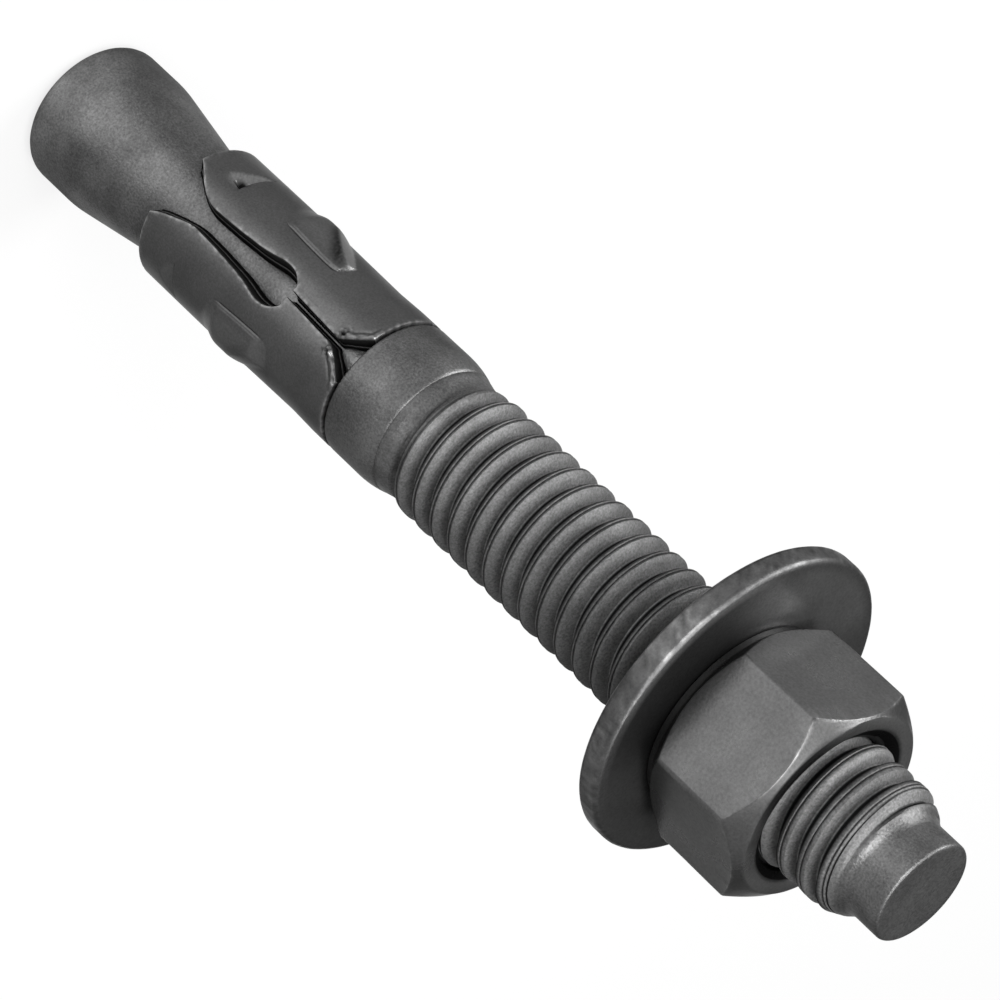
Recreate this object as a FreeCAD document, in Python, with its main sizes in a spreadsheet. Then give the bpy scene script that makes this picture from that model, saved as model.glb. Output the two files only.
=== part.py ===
# Wedge anchor, 3/8-16 x 3 in: anchor stud, expansion clip, flat washer and hex nut.
# The anchor stands on the flat end of its cone. +Z runs along the axis to the threaded tip,
# the origin is the centre of the cone's end face, and the seam of the clip faces -Y.
# The thread is plain here: the stud has its crest diameter and the nut clears it.
import FreeCAD, Part
import math
import os
import Sketcher

os.makedirs("parts", exist_ok=True)
doc = FreeCAD.newDocument("wedge_anchor")

# Driving sizes in millimetres and degrees. Heights of the stud and of the washer run from the
# cone's end face, those of the clip from its cone-side edge and those of the nut from its base.
SIZES = [
    ("stud_length", 76.2, "overall length, 3 in"),
    ("land_dia", 9.84, "straight land at the wide end of the cone"),
    ("land_height", 4.3, "top of the land, where the taper starts"),
    ("end_round", 1.1, "rounding round the cone's end face"),
    ("taper_angle", 9.45, "half angle of the cone"),
    ("taper_blend", 1.3, "length of the blend between land and taper"),
    ("neck_dia", 6.7, "neck that the clip turns on"),
    ("collar_dia", 9.46, "collar that pushes the clip down the hole"),
    ("collar_base", 29.6, "underside of the collar"),
    ("collar_edge", 0.3, "broken lower edge of the collar"),
    ("collar_crown_base", 32.3, "start of the collar's crowned top"),
    ("collar_top", 34.55, "end of the crowned top"),
    ("crown_radius", 6.0, "radius of the crowned top"),
    ("rolling_dia", 8.5, "plain shank left between collar and thread"),
    ("thread_base", 36.1, "height at which the crests are full"),
    ("crest_lead", 0.5, "cone from the plain shank up to the crests"),
    ("crest_dia", 9.07, "thread crest, rolled not quite full"),
    ("tip_crest_dia", 8.8, "crest of the last turns before the tip"),
    ("tip_crest_base", 68.4, "height where the crest gets lower"),
    ("tip_crest_top", 70.0, "height where the last turns have their own crest"),
    ("point_dia", 6.74, "dog point at the threaded tip"),
    ("point_length", 2.1, "straight length of the dog point"),
    ("point_lead", 1.9, "cone between thread and dog point"),
    ("point_chamfer", 0.25, "chamfer round the tip"),
    ("clip_base", 11.65, "cone-side edge of the clip"),
    ("clip_dia", 9.56, "clip over its fingers"),
    ("clip_finger_height", 5.85, "height where the clip starts to narrow"),
    ("clip_waist_dia", 9.32, "clip where it is narrowest"),
    ("clip_waist_height", 14.3, "height of the narrowest place"),
    ("clip_lip_dia", 9.46, "clip over its flared lip"),
    ("clip_lip_height", 16.3, "height of the flared lip"),
    ("clip_wall", 1.05, "sheet thickness"),
    ("clip_end_gap", 0.15, "clearance between clip and collar"),
    ("clip_edge", 0.2, "broken edges of the sheet"),
    ("finger_count", 3, "fingers, one slot between each two"),
    ("slot_mouth_width", 4.0, "slot at the cone-side edge"),
    ("slot_throat_height", 3.1, "height of the bevelled mouth"),
    ("slot_throat_width", 1.56, "slot just inside the mouth"),
    ("slot_waist_height", 7.8, "where the slot opens into its keyhole"),
    ("slot_waist_width", 2.2, "slot below the keyhole"),
    ("keyhole_height", 9.6, "height of the keyhole's widest place"),
    ("keyhole_width", 3.2, "widest place of the keyhole"),
    ("keyhole_top", 11.5, "closed end of the keyhole"),
    ("keyhole_top_width", 1.7, "flat of the closed end"),
    ("keyhole_curve", 2.1, "radius of the keyhole's shoulders"),
    ("seam_width", 0.75, "gap between the two rolled ends of the sheet"),
    ("notch_width", 3.4, "seam notch at the collar-side edge"),
    ("notch_throat_width", 1.5, "seam notch at its inner end"),
    ("notch_depth", 1.2, "depth of the seam notch"),
    ("notch_curve", 1.8, "radius of the notch's sides"),
    ("bump_height", 8.9, "height of the pressed bumps' centres"),
    ("bump_rise", 0.6, "how far a bump stands out of its finger"),
    ("bump_length", 7.8, "bump along the axis, in the middle of the sheet"),
    ("bump_curve", 4.0, "radius of a bump across its finger"),
    ("bump_width", 3.25, "bump across its finger, at the crest"),
    ("hollow_width", 2.3, "hollow behind a bump, across its finger"),
    ("nick_height", 3.4, "sheared top edge of the pressed nicks"),
    ("nick_depth", 0.3, "depth of a nick at its sheared edge"),
    ("nick_length", 2.1, "length of a nick along the axis"),
    ("washer_setback", 17.3, "from the stud's tip down to the underside of the washer"),
    ("washer_thickness", 1.55, "washer thickness"),
    ("washer_dia", 20.64, "washer outer diameter, 13/16 in"),
    ("washer_hole_dia", 10.32, "washer hole, 13/32 in"),
    ("washer_rim_break", 0.3, "broken edges of the washer's rim"),
    ("washer_hole_break", 0.15, "broken edges of the washer's hole"),
    ("washer_offset", 0.45, "how far the loose washer hangs to -X"),
    ("nut_gap", 0.06, "clearance between washer and nut"),
    ("nut_height", 8.15, "nut height"),
    ("nut_flats", 13.0, "nut across flats"),
    ("nut_turned", 5.7, "angle of a corner past +X"),
    ("nut_eccentricity", 0.2, "offset of the hexagon from its thread, to +X"),
    ("nut_face_dia", 12.4, "round bearing face under the nut"),
    ("nut_face_height", 0.45, "height of the bearing face"),
    ("nut_base_chamfer", 38.0, "chamfer of the hexagon's lower corners"),
    ("nut_top_dia", 12.3, "round top face of the nut"),
    ("nut_top_chamfer", 42.0, "chamfer of the hexagon's upper corners"),
    ("nut_sink_dia", 10.8, "countersink at the top face"),
    ("nut_base_sink_dia", 9.9, "countersink at the bearing face"),
    ("nut_sink_angle", 32.0, "countersinks, from the face"),
    ("thread_gap", 0.14, "clearance of the nut all round the stud"),
]
sheet = doc.addObject("Spreadsheet::Sheet", "Sizes")
for row, (alias, value, note) in enumerate(SIZES, start=1):
    sheet.set("A%d" % row, alias)
    sheet.set("B%d" % row, repr(value))
    sheet.set("C%d" % row, note)
    sheet.setAlias("B%d" % row, alias)
doc.recompute()


class Length:
    """A number together with the expression of sheet cells that gives it."""

    def __init__(self, value, text):
        self.value = float(value)
        self.text = text

    def __add__(self, other):
        return Length(self.value + other.value, "(%s + %s)" % (self.text, other.text))

    def __sub__(self, other):
        return Length(self.value - other.value, "(%s - %s)" % (self.text, other.text))

    def __mul__(self, other):
        return Length(self.value * other.value, "(%s * %s)" % (self.text, other.text))

    def __truediv__(self, other):
        return Length(self.value / other.value, "(%s / %s)" % (self.text, other.text))

    def __neg__(self):
        return Length(-self.value, "(0 - %s)" % self.text)


def size(alias):
    """One driving size of the sheet."""
    return Length(sheet.get(alias), "Sizes." + alias)


def number(value):
    """A plain number of the geometry, such as a half."""
    return Length(value, repr(value))


def sine(angle):
    return Length(math.sin(math.radians(angle.value)), "sin(%s)" % angle.text)


def cosine(angle):
    return Length(math.cos(math.radians(angle.value)), "cos(%s)" % angle.text)


def tangent(angle):
    return Length(math.tan(math.radians(angle.value)), "tan(%s)" % angle.text)


def arcsine(ratio):
    return Length(math.degrees(math.asin(ratio.value)), "asin(%s)" % ratio.text)


def root(length):
    return Length(math.sqrt(length.value), "sqrt(%s)" % length.text)


ZERO = number(0)
HALF = number(0.5)
QUARTER = number(0.25)
# Every cutting form reaches this far past the surface that it cuts.
OVERCUT = number(0.1)


def new_body(name, height):
    """A body for one piece, standing at its own height on the anchor's axis."""
    body = doc.addObject("PartDesign::Body", name)
    body.Label = name
    body.setExpression("Placement.Base.z", height.text)
    return body


def origin_item(body, role):
    """One of the planes or axes of the body's own origin."""
    return [item for item in body.Origin.OriginFeatures if item.Role == role][0]


def bind(sketch, kind, length, *geometry):
    """One sketch dimension that follows the sheet."""
    index = sketch.addConstraint(Sketcher.Constraint(kind, *geometry, length.value))
    sketch.setExpression("Constraints[%d]" % index, length.text)


def outline(body, name, corners, plane="XZ_Plane", shift=ZERO):
    """A closed sketch through corners, each (across, up) or (across, up, radius, bulge).

    The edge that ends at a corner is straight, or an arc of the radius given there, which
    bulges to the left of its travel for 1 and to the right for -1. The sketch's own axis lies
    the shift away from the body's.
    """
    sketch = body.newObject("Sketcher::SketchObject", name)
    sketch.AttachmentSupport = [(origin_item(body, plane), "")]
    sketch.MapMode = "FlatFace"
    sketch.setExpression("AttachmentOffset.Base.x", shift.text)
    points = [FreeCAD.Vector(corner[0].value, corner[1].value, 0) for corner in corners]
    ends = []
    for index, corner in enumerate(corners):
        start = points[index - 1]
        end = points[index]
        if len(corner) == 2:
            sketch.addGeometry(Part.LineSegment(start, end), False)
            ends.append((1, 2))
            continue
        radius = corner[2].value
        chord = end - start
        rise = radius - math.sqrt(radius ** 2 - chord.Length ** 2 / 4)
        left = FreeCAD.Vector(-chord.y, chord.x, 0).normalize()
        middle = (start + end) / 2 + left * rise * corner[3]
        if corner[3] > 0:
            sketch.addGeometry(Part.Arc(end, middle, start), False)
            ends.append((2, 1))
        else:
            sketch.addGeometry(Part.Arc(start, middle, end), False)
            ends.append((1, 2))
    for index in range(len(corners)):
        following = (index + 1) % len(corners)
        joint = Sketcher.Constraint("Coincident", index, ends[index][1], following, ends[following][0])
        sketch.addConstraint(joint)
    for index, corner in enumerate(corners):
        last = ends[index][1]
        bind(sketch, "DistanceX", corner[0], -1, 1, index, last)
        bind(sketch, "DistanceY", corner[1], -1, 1, index, last)
        if len(corner) == 4:
            bind(sketch, "Radius", corner[2], index)
    doc.recompute()
    return sketch


def turned(body, name, kind, sketch):
    """A sketch turned once round the axis, to add it or to cut it."""
    feature = body.newObject(kind, name)
    feature.Profile = sketch
    feature.ReferenceAxis = (sketch, ["V_Axis"])
    feature.Angle = 360
    doc.recompute()
    return feature


def pocket(body, name, sketch, depth):
    """Cut a sketched opening to a depth."""
    feature = body.newObject("PartDesign::Pocket", name)
    feature.Profile = sketch
    feature.Type = 0
    feature.Length = depth.value
    feature.setExpression("Length", depth.text)
    return feature


def push_out(body, name, sketch, outward):
    """Cut a sketched opening through one side of the sheet, from the axis outwards."""
    feature = pocket(body, name, sketch, outward)
    feature.Reversed = True
    doc.recompute()
    return feature


def ring_edges(feature, radius, height):
    """Names of the circles of one radius at one height."""
    names = []
    for index, edge in enumerate(feature.Shape.Edges, start=1):
        curve = edge.Curve
        if curve.TypeId == "Part::GeomCircle":
            if abs(curve.Radius - radius.value) < 1e-4 and abs(curve.Center.z - height.value) < 1e-4:
                names.append("Edge%d" % index)
    return names


def rounded(body, name, base, edges, radius):
    """Round the named edges of the body."""
    feature = body.newObject("PartDesign::Fillet", name)
    feature.Base = (base, edges)
    feature.Radius = radius.value
    feature.setExpression("Radius", radius.text)
    doc.recompute()
    return feature


def per_finger(body, name, feature):
    """Repeat a feature of the clip on each of its fingers."""
    pattern = body.newObject("PartDesign::PolarPattern", name)
    pattern.Originals = [feature]
    pattern.Axis = (origin_item(body, "Z_Axis"), [""])
    pattern.Angle = 360
    pattern.Occurrences = int(size("finger_count").value)
    pattern.setExpression("Occurrences", "Sizes.finger_count")
    body.Tip = pattern
    doc.recompute()
    return pattern


def pressed_form(body, name, kind, peak, curve, arc, rise, width):
    """A barrel form on +Y, centred at the height of the bumps, to add it or to cut it.

    Its crest is an arc along the axis, which reaches the peak's distance from the axis, and
    which is turned across the finger round the middle of the form's own curve.
    """
    half = root(rise * (arc + arc - rise))
    middle = size("bump_height")
    section = outline(body, name + "Section", [
        (curve - rise, middle - half),
        (curve - rise, middle + half, arc, -1),
    ], "YZ_Plane", peak - curve)
    feature = turned(body, name, kind, section)
    swing = arcsine(width * HALF / curve)
    feature.Midplane = True
    feature.Angle = 2 * swing.value
    feature.setExpression("Angle", (swing + swing).text)
    doc.recompute()
    return feature


def make_stud():
    """The one-piece cold-formed stud: cone, neck, collar, rolled thread and dog point."""
    body = new_body("anchor_stud", ZERO)
    land = size("land_dia") * HALF
    neck = size("neck_dia") * HALF
    collar = size("collar_dia") * HALF
    shank = size("rolling_dia") * HALF
    crest = size("crest_dia") * HALF
    tip_crest = size("tip_crest_dia") * HALF
    point = size("point_dia") * HALF
    tip = size("stud_length")
    slope = tangent(size("taper_angle"))
    taper_top = size("land_height") + (land - neck) / slope
    blend = size("taper_blend") * HALF
    crown = size("crown_radius")
    crown_rise = size("collar_top") - size("collar_crown_base")
    crown_end = collar - crown + root(crown * crown - crown_rise * crown_rise)
    edge = size("collar_edge")
    chamfer = size("point_chamfer")
    point_base = tip - size("point_length")
    blank = outline(body, "StudOutline", [
        (ZERO, ZERO),
        (land, ZERO),
        (land, size("land_height") - blend),
        (land - blend * slope, size("land_height") + blend),
        (neck, taper_top),
        (neck, size("collar_base")),
        (collar - edge, size("collar_base")),
        (collar, size("collar_base") + edge),
        (collar, size("collar_crown_base")),
        (crown_end, size("collar_top"), crown, -1),
        (shank, size("collar_top")),
        (shank, size("thread_base") - size("crest_lead")),
        (crest, size("thread_base")),
        (crest, size("tip_crest_base")),
        (tip_crest, size("tip_crest_top")),
        (tip_crest, point_base - size("point_lead")),
        (point, point_base),
        (point, tip - chamfer),
        (point - chamfer, tip),
        (ZERO, tip),
    ])
    formed = turned(body, "StudBlank", "PartDesign::Revolution", blank)
    foot = ring_edges(formed, land, ZERO)
    rounded(body, "ConeEndRound", formed, foot, size("end_round"))
    return body


def make_clip():
    """The rolled sheet clip: three fingers, their slots, the seam, bumps and nicks."""
    body = new_body("expansion_clip", size("clip_base"))
    wall = size("clip_wall")
    wide = size("clip_dia") * HALF
    waist = size("clip_waist_dia") * HALF
    lip = size("clip_lip_dia") * HALF
    edge = size("clip_edge")
    top = size("collar_base") - size("clip_end_gap") - size("clip_base")
    sheet_section = outline(body, "SheetSection", [
        (wide - edge, ZERO),
        (wide, edge),
        (wide, size("clip_finger_height")),
        (waist, size("clip_waist_height")),
        (lip, size("clip_lip_height")),
        (lip, top - edge),
        (lip - edge, top),
        (lip - wall + edge, top),
        (lip - wall, top - edge),
        (lip - wall, size("clip_lip_height")),
        (waist - wall, size("clip_waist_height")),
        (wide - wall, size("clip_finger_height")),
        (wide - wall, edge),
        (wide - wall + edge, ZERO),
    ])
    turned(body, "RolledSheet", "PartDesign::Revolution", sheet_section)

    curve = size("bump_curve")
    rise = size("bump_rise")
    seat = rise + wall * HALF
    arc = (size("bump_length") * size("bump_length") * QUARTER + seat * seat) / (seat + seat)
    bump = pressed_form(
        body, "Bump", "PartDesign::Revolution", wide + rise, curve, arc, seat, size("bump_width"))
    per_finger(body, "Bumps", bump)
    hollow = pressed_form(
        body, "Hollow", "PartDesign::Groove", wide + rise - wall, curve - wall, arc, rise + OVERCUT,
        size("hollow_width"))
    per_finger(body, "Hollows", hollow)

    nick_top = size("nick_height")
    run_out = size("nick_length") / size("nick_depth")
    nick_section = outline(body, "NickSection", [
        (wide - size("nick_depth"), nick_top),
        (wide + OVERCUT, nick_top),
        (wide + OVERCUT, nick_top - size("nick_length") - OVERCUT * run_out),
    ], "YZ_Plane")
    nick = pocket(body, "Nick", nick_section, size("clip_dia"))
    nick.Midplane = True
    doc.recompute()
    per_finger(body, "Nicks", nick)

    outward = lip + size("clip_dia")
    mouth = size("slot_mouth_width") * HALF
    throat = size("slot_throat_width") * HALF
    waist_half = size("slot_waist_width") * HALF
    key = size("keyhole_width") * HALF
    key_top = size("keyhole_top_width") * HALF
    curve = size("keyhole_curve")
    slot = outline(body, "SlotOutline", [
        (-mouth, -OVERCUT),
        (mouth, -OVERCUT),
        (throat, size("slot_throat_height")),
        (waist_half, size("slot_waist_height")),
        (key, size("keyhole_height")),
        (key_top, size("keyhole_top"), curve, -1),
        (-key_top, size("keyhole_top")),
        (-key, size("keyhole_height"), curve, -1),
        (-waist_half, size("slot_waist_height")),
        (-throat, size("slot_throat_height")),
    ])
    first = push_out(body, "Slot", slot, outward)
    per_finger(body, "Slots", first)

    gap = size("seam_width") * HALF
    notch = size("notch_width") * HALF
    notch_throat = size("notch_throat_width") * HALF
    notch_curve = size("notch_curve")
    notch_base = top - size("notch_depth")
    seam = outline(body, "SeamOutline", [
        (-gap, size("keyhole_height")),
        (gap, size("keyhole_height")),
        (gap, notch_base),
        (notch_throat, notch_base),
        (notch, top + OVERCUT, notch_curve, 1),
        (-notch, top + OVERCUT),
        (-notch_throat, notch_base, notch_curve, 1),
        (-gap, notch_base),
    ])
    push_out(body, "Seam", seam, outward)
    return body


def make_washer():
    """The stamped flat washer, which hangs a little to one side of the stud."""
    body = new_body("washer", size("stud_length") - size("washer_setback"))
    body.setExpression("Placement.Base.x", (-size("washer_offset")).text)
    rim = size("washer_dia") * HALF
    hole = size("washer_hole_dia") * HALF
    thick = size("washer_thickness")
    rim_break = size("washer_rim_break")
    hole_break = size("washer_hole_break")
    section = outline(body, "WasherSection", [
        (hole + hole_break, ZERO),
        (rim - rim_break, ZERO),
        (rim, rim_break),
        (rim, thick - rim_break),
        (rim - rim_break, thick),
        (hole + hole_break, thick),
        (hole, thick - hole_break),
        (hole, hole_break),
    ])
    turned(body, "WasherRing", "PartDesign::Revolution", section)
    return body


def make_nut():
    """The hex nut, run down by hand until it stands on the washer."""
    washer_base = size("stud_length") - size("washer_setback")
    base = washer_base + size("washer_thickness") + size("nut_gap")
    body = new_body("hex_nut", base)
    height = size("nut_height")
    corner = size("nut_flats") * HALF / cosine(number(30))
    corners = []
    for index in range(6):
        angle = size("nut_turned") + number(60 * index)
        corners.append((size("nut_eccentricity") + corner * cosine(angle), corner * sine(angle)))
    hexagon = outline(body, "Hexagon", corners, "XY_Plane")
    prism = body.newObject("PartDesign::Pad", "HexPrism")
    prism.Profile = hexagon
    prism.Length = height.value
    prism.setExpression("Length", height.text)
    doc.recompute()

    reach = corner + size("nut_eccentricity") + OVERCUT
    face = size("nut_face_dia") * HALF
    face_top = size("nut_face_height")
    lower = outline(body, "LowerChamferSection", [
        (face, -OVERCUT),
        (reach, -OVERCUT),
        (reach, face_top + (reach - face) * tangent(size("nut_base_chamfer"))),
        (face, face_top),
    ])
    turned(body, "LowerChamfer", "PartDesign::Groove", lower)
    top_face = size("nut_top_dia") * HALF
    upper = outline(body, "UpperChamferSection", [
        (top_face, height),
        (reach, height - (reach - top_face) * tangent(size("nut_top_chamfer"))),
        (reach, height + OVERCUT),
        (top_face, height + OVERCUT),
    ])
    turned(body, "UpperChamfer", "PartDesign::Groove", upper)

    bore = size("crest_dia") * HALF + size("thread_gap")
    slope = tangent(size("nut_sink_angle"))
    sink = size("nut_sink_dia") * HALF
    base_sink = size("nut_base_sink_dia") * HALF
    hole = outline(body, "BoreSection", [
        (ZERO, -OVERCUT),
        (base_sink, -OVERCUT),
        (base_sink, ZERO),
        (bore, (base_sink - bore) * slope),
        (bore, height - (sink - bore) * slope),
        (sink, height),
        (sink, height + OVERCUT),
        (ZERO, height + OVERCUT),
    ])
    turned(body, "Bore", "PartDesign::Groove", hole)
    return body


pieces = [make_stud(), make_clip(), make_washer(), make_nut()]
doc.recompute()
for item in doc.Objects:
    if "Invalid" in item.State or "Error" in item.State:
        raise RuntimeError("%s could not be built: %s" % (item.Label, item.State))
for piece in pieces:
    if piece.Shape.isNull() or not piece.Shape.isValid() or len(piece.Shape.Solids) != 1:
        raise RuntimeError("%s is not one valid solid" % piece.Label)
for piece in pieces:
    piece.Shape.exportStep("parts/%s.step" % piece.Label)
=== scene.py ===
import math

import bpy
import numpy as np
from mathutils import Matrix, Vector, noise


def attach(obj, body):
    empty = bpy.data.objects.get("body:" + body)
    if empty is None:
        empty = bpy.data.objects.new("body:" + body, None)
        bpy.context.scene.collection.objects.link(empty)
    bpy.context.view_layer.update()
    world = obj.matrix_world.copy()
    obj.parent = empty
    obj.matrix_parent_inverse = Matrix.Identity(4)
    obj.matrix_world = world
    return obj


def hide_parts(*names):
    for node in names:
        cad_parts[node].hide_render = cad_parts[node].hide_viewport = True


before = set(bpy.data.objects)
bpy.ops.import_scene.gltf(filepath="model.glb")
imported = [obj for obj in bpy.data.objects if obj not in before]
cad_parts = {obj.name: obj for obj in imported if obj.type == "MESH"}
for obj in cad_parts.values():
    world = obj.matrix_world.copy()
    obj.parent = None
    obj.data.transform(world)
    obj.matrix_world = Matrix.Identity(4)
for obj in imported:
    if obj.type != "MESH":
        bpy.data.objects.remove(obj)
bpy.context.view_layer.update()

# Sizes of the anchor in millimetres, the same as in the solids. Heights run from the cone's end.
MM = 0.001
PITCH = 1.5875
CREST = 4.535
TIP_CREST = 4.40
ROOT = 3.78
ROOT_HALF = 0.127
FLANK = math.tan(math.radians(30))
GROOVE_START = 34.82
THREAD_TURNS = 23
THREAD_TOP = 73.4
LAND = 4.92
LAND_TOP = 4.3
CONE_SLOPE = 0.1665
NECK = 3.35
COLLAR = 4.73
COLLAR_BASE = 29.6
CROWN_BASE = 32.3
CROWN_HEIGHT = 1.65
CROWN_ROUND = 6.0
SHANK = 4.25
POINT = 3.37
POINT_BASE = 74.1
STUD_TOP = 76.2
SHEET_BASE = 11.65
SHEET_HEIGHT = 17.8
SHEET_RADIUS = 4.78
SHEET_WALL = 1.05
SHEET_EDGE = 0.1
SLOT_TOP = 11.5
WASHER_BASE = 58.9
WASHER_TOP = 60.45
WASHER_THICK = 1.55
WASHER_HOLE = 5.16
WASHER_RIM = 10.32
WASHER_SHIFT = -0.45
NUT_BASE = 60.51
NUT_HEIGHT = 8.15
NUT_HALF = 6.5
NUT_FACE = 6.2
NUT_TOP_FACE = 6.15
NUT_TURNED = 5.7
NUT_SHIFT = 0.2
NUT_ROOT = 4.785
NUT_CREST = 3.99
SINK_BELOW = 4.95
SINK_ABOVE = 5.4
SINK_SLOPE = math.tan(math.radians(32))

# Places up the pitch of the seam along the crest and of the fine line at the crest's upper edge.
SEAM_PLACE = 0.75
LINE_PLACE = 0.985

# The threaded length before it is rolled, as (height, radius).
BLANK = [
    (34.55, 4.28), (34.72, SHANK), (35.55, SHANK), (36.15, CREST), (68.4, CREST), (70.0, TIP_CREST),
    (72.3, TIP_CREST - 0.02), (THREAD_TOP, 3.86), (73.85, 3.5), (POINT_BASE, POINT + 0.03)]

# Where the clip's seam lies, in degrees.
SEAM = -90
# The clip's slots: where each lies, in degrees, and half the width of its mouth to its two sides.
SLOTS = {SEAM: (2.62, 1.99), 30: (2.1, 2.1), 150: (2.1, 2.1)}
# The clip's fingers: middle, slot before and slot after, in degrees, and the form of the bump.
FINGERS = [(-150, 150, SEAM, "deep"), (-30, SEAM, 30, "plain"), (90, 30, 150, "even")]

# Points round each turned piece.
COLUMNS = 128
WASHER_COLUMNS = 192
NUT_COLUMNS = 180

# The photograph's camera, in picture points, degrees and millimetres: the picture's width, the focal
# length, the tilt and turn of the anchor's axis, and the place and depth of the anchor's tip.
PHOTO_SIZE = 1000
PHOTO_FOCAL = 4953.4
PHOTO_AXIS = (60.3435, -136.6587)
PHOTO_TIP = (922.093, 894.289)
PHOTO_DEPTH = 267.371
SENSOR = 36.0


def ease(value):
    """Smooth step from 0 to 1."""
    value = np.clip(value, 0.0, 1.0)
    return value * value * (3.0 - 2.0 * value)


def grain(x, y, z, scale, seed=0.0):
    """Smooth noise between about -1 and 1 at each point."""
    x, y, z = np.broadcast_arrays(x, y, z)
    flat = np.stack([x.ravel(), y.ravel(), z.ravel()], 1) * scale + seed
    values = [noise.noise(Vector(point)) for point in flat]
    return np.array(values).reshape(x.shape)


def grain_round(radius, azimuth, height, scale, seed=0.0):
    """The same noise on a round surface."""
    return grain(radius * np.cos(azimuth), radius * np.sin(azimuth), height, scale, seed)


def rounded(corners, steps=4):
    """A line through (radius, height, rounding) corners, each corner rounded by an arc."""
    line = []
    for index, (radius, height, rounding) in enumerate(corners):
        here = Vector((radius, height, 0.0))
        if rounding == 0:
            line.append(here)
            continue
        before = (Vector((*corners[index - 1][:2], 0.0)) - here).normalized()
        after = (Vector((*corners[index + 1][:2], 0.0)) - here).normalized()
        opening = before.angle(after)
        centre = here + (before + after).normalized() * rounding / math.sin(opening / 2)
        reach = rounding / math.tan(opening / 2)
        first = here + before * reach - centre
        last = here + after * reach - centre
        for step in range(steps + 1):
            line.append(centre + first.normalized().slerp(last.normalized(), step / steps) * rounding)
    return [(point.x, point.y) for point in line]


def divided(line, longest):
    """The line with its long runs divided."""
    result = [line[0]]
    for (r0, z0), (r1, z1) in zip(line, line[1:]):
        parts = max(1, math.ceil(math.hypot(r1 - r0, z1 - z0) / longest))
        for part in range(1, parts + 1):
            share = part / parts
            result.append((r0 + (r1 - r0) * share, z0 + (z1 - z0) * share))
    return result


def half_turn(azimuth):
    """The same azimuth between minus half a turn and plus half a turn."""
    return (azimuth + math.pi) % (2 * math.pi) - math.pi


def azimuth_patch(azimuth, middle, half):
    """Share of a patch of painted light and shade that lies round one azimuth, in degrees."""
    turn = half_turn(azimuth - math.radians(middle))
    return np.exp(-(turn / math.radians(half)) ** 4)


def laid_round(line, azimuths):
    """Radius, azimuth and height of every point of the rings through a line of (radius, height)."""
    radius, height = (np.array(values)[:, None] + np.zeros(len(azimuths)) for values in zip(*line))
    return radius, azimuths[None, :] + np.zeros_like(radius), height


class Shell:
    """Points and faces of one piece, in millimetres."""

    def __init__(self, shift=0.0):
        self.shift = shift
        self.points = []
        self.faces = []
        self.grime = []
        self.matt = None

    def add(self, radius, azimuth, height, grime=0.0):
        """Add points in cylinder coordinates and return their numbers.

        The shading is painted light and shade: from 0 on a plain face to 1, nearly black, for painted
        shade deep in a crevice, and to -1 for painted light on an edge.
        """
        radius, azimuth, height, grime = np.broadcast_arrays(radius, azimuth, height, grime)
        self.grime.extend(grime.ravel().tolist())
        spots = np.stack([radius * np.cos(azimuth) + self.shift, radius * np.sin(azimuth), height], -1)
        numbers = np.arange(radius.size).reshape(radius.shape) + len(self.points)
        self.points.extend(spots.reshape(-1, 3).tolist())
        return numbers

    def quads(self, grid, closed=False, flip=False):
        """Faces between the rows and columns of a grid of point numbers."""
        if closed:
            grid = np.concatenate([grid, grid[:, :1]], axis=1)
        corners = [grid[:-1, :-1], grid[:-1, 1:], grid[1:, 1:], grid[1:, :-1]]
        if flip:
            corners.reverse()
        for face in np.stack(corners, -1).reshape(-1, 4).tolist():
            unique = [number for index, number in enumerate(face) if number != face[index - 1]]
            if len(unique) > 2:
                self.faces.append(unique)

    def rings(self, line, azimuths, lifted=None, grime=None):
        """Closed rings through a line of (radius, height); returns the first and the last ring."""
        radius, around, height = laid_round(line, azimuths)
        if lifted is not None:
            radius = lifted(radius, around, height)
        shade_paint = 0.0 if grime is None else grime(around, height)
        grid = self.add(radius, around, height, shade_paint)
        self.quads(grid, closed=True)
        return grid[0], grid[-1]

    def cap(self, ring, height, up):
        """Close a ring with a disc."""
        centre = self.add(0.0, 0.0, height).reshape(-1)[0]
        for first, second in zip(ring, np.roll(ring, -1)):
            face = [int(first), int(second), int(centre)]
            self.faces.append(face if up else face[::-1])

    def piece(self, name, body, node, slot, sharp=40.0):
        """Make the Blender object, which rides on its body in place of the plain solid."""
        used = sorted({number for face in self.faces for number in face})
        place = {number: index for index, number in enumerate(used)}
        faces = [[place[number] for number in face] for face in self.faces]
        mesh = bpy.data.meshes.new(name)
        mesh.from_pydata((np.array(self.points)[used] * MM).tolist(), [], faces)
        # The shading mark: painted shade above 0, painted light below 0.
        grime = mesh.attributes.new("grime", "FLOAT", "POINT")
        grime.data.foreach_set("value", np.array(self.grime)[used])
        matt = mesh.attributes.new("matt", "FLOAT", "POINT")
        if self.matt is not None:
            matt.data.foreach_set("value", self.matt(*np.array(self.points)[used].T))
        mesh.update()
        made = bpy.data.objects.new(name, mesh)
        bpy.context.scene.collection.objects.link(made)
        mesh.shade_smooth()
        mesh.set_sharp_from_angle(angle=math.radians(sharp))
        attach(made, body)
        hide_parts(node)
        return made


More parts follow.
